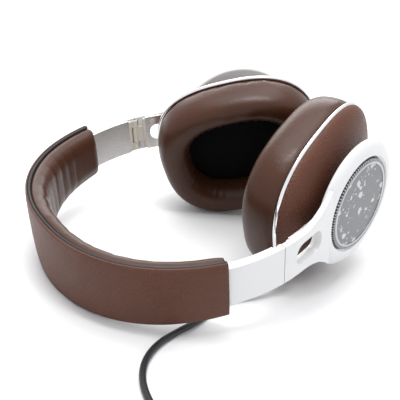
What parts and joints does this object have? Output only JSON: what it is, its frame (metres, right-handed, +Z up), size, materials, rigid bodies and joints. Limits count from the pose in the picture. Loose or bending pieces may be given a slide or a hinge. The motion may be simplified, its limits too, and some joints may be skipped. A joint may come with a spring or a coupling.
{
  "type": "over ear headphones",
  "caption": "Folding over ear headphones with padded headband, sliding arms, yokes on fold hinges, gimballed oval ear cups, soft cushions and a coiled lead with a stereo plug.",
  "frame": {"origin": "middle of the footprint of the lying headphones, on the surface they lie on, without the lead", "axes": "+Z up from the surface, +X from the crown of the headband to the ear cups, +Y from the right cup to the left cup"},
  "size_m": [0.2289, 0.2115, 0.0855],
  "materials": {
    "outer_leather": "cross-grained brown leather",
    "pad_leather": "smooth soft brown leather",
    "black_frame": "moulded black core",
    "spring_steel": "plain spring steel",
    "chrome_trim": "polished",
    "piping": "charcoal piping",
    "black_plastic": "matt black moulding",
    "white_plastic": "satin white lacquer",
    "brushed_silver": "brushed silver",
    "cream_plastic": "off-white moulding",
    "grey_metal": "satin grey bevel",
    "dark_metal": "fine knurled dark ring",
    "disc_metal": "satin grey with pale flecks",
    "driver_metal": "cast basket",
    "diaphragm_film": "thin formed film",
    "black_fabric": "woven screen",
    "cord_rubber": "dark grey soft jacket",
    "plug_metal": "plated"
  },
  "bodies": {
    "headband": {"headband_cover": "outer_leather", "headband_pad": "pad_leather", "headband_frame": "black_frame", "headband_spring": "spring_steel", "band_rivets": "chrome_trim", "piping_front": "piping", "piping_back": "piping", "guide_sleeve_right": "black_plastic", "guide_sleeve_left": "black_plastic", "cord": "cord_rubber", "cord_coil": "cord_rubber", "cord_tie": "black_plastic", "plug": "plug_metal"},
    "arm_right": {"arm_shell_right": "white_plastic", "arm_liner_right": "brushed_silver", "detent_spring_right": "spring_steel", "hinge_block_right": "cream_plastic", "hinge_pin_right": "spring_steel"},
    "yoke_right": {"hinge_lever_right": "cream_plastic", "yoke_right": "white_plastic", "yoke_liner_right": "brushed_silver", "pivot_plate_right": "black_plastic", "bezel_ring_right": "grey_metal", "knurled_ring_right": "dark_metal", "disc_rim_right": "chrome_trim", "disc_right": "disc_metal"},
    "gimbal_right": {"gimbal_right": "black_plastic"},
    "cup_right": {"cup_hub_right": "black_plastic", "cup_shell_right": "outer_leather", "trim_ring_right": "chrome_trim", "baffle_right": "black_plastic", "driver_right": "driver_metal", "diaphragm_right": "diaphragm_film", "baffle_screws_right": "spring_steel", "ear_screen_right": "black_fabric", "ear_cushion_right": "pad_leather", "strain_relief": "cord_rubber"},
    "arm_left": {"arm_shell_left": "white_plastic", "arm_liner_left": "brushed_silver", "detent_spring_left": "spring_steel", "hinge_block_left": "cream_plastic", "hinge_pin_left": "spring_steel"},
    "yoke_left": {"hinge_lever_left": "cream_plastic", "yoke_left": "white_plastic", "yoke_liner_left": "brushed_silver", "pivot_plate_left": "black_plastic", "bezel_ring_left": "grey_metal", "knurled_ring_left": "dark_metal", "disc_rim_left": "chrome_trim", "disc_left": "disc_metal"},
    "gimbal_left": {"gimbal_left": "black_plastic"},
    "cup_left": {"cup_hub_left": "black_plastic", "cup_shell_left": "outer_leather", "trim_ring_left": "chrome_trim", "baffle_left": "black_plastic", "driver_left": "driver_metal", "diaphragm_left": "diaphragm_film", "baffle_screws_left": "spring_steel", "ear_screen_left": "black_fabric", "ear_cushion_left": "pad_leather"}
  },
  "joints": [
    {"name": "size_slide_right", "type": "hinge", "parent": "headband", "child": "arm_right", "pos_m": [-0.0111, 0.01199, 0.03355], "axis": [-0.1904, -0.0504, 0.9804], "range_deg": [-6.89, 9.65], "deforming": ["cord"]},
    {"name": "fold_right", "type": "hinge", "parent": "arm_right", "child": "yoke_right", "pos_m": [-0.00293, -0.06795, 0.03102], "axis": [-0.1904, -0.0504, 0.9804], "range_deg": [0, 55], "deforming": ["ear_cushion_right", "ear_screen_right"]},
    {"name": "cup_swivel_right", "type": "hinge", "parent": "yoke_right", "child": "gimbal_right", "pos_m": [0.05178, -0.04881, 0.04263], "axis": [-0.1904, -0.0504, 0.9804], "range_deg": [-16.4, 6]},
    {"name": "cup_tilt_right", "type": "hinge", "parent": "gimbal_right", "child": "cup_right", "pos_m": [0.05178, -0.04881, 0.04263], "axis": [-0.9076, -0.3715, -0.1953], "range_deg": [-6.4, 10.4]},
    {"name": "size_slide_left", "type": "hinge", "parent": "headband", "child": "arm_left", "pos_m": [-0.0111, -0.01198, 0.03232], "axis": [0.1904, 0.0504, -0.9804], "range_deg": [-6.89, 9.65]},
    {"name": "fold_left", "type": "hinge", "parent": "arm_left", "child": "yoke_left", "pos_m": [-0.00293, 0.0678, 0.03801], "axis": [-0.1904, -0.0504, 0.9804], "range_deg": [-52, 3], "deforming": ["ear_cushion_left", "ear_screen_left"]},
    {"name": "cup_swivel_left", "type": "hinge", "parent": "yoke_left", "child": "gimbal_left", "pos_m": [0.0507, 0.04469, 0.04723], "axis": [0.1904, 0.0504, -0.9804], "range_deg": [-22.2, 0.2]},
    {"name": "cup_tilt_left", "type": "hinge", "parent": "gimbal_left", "child": "cup_left", "pos_m": [0.0507, 0.04469, 0.04723], "axis": [0.8397, -0.5257, 0.136], "range_deg": [-15.4, 1.4]}
  ]
}
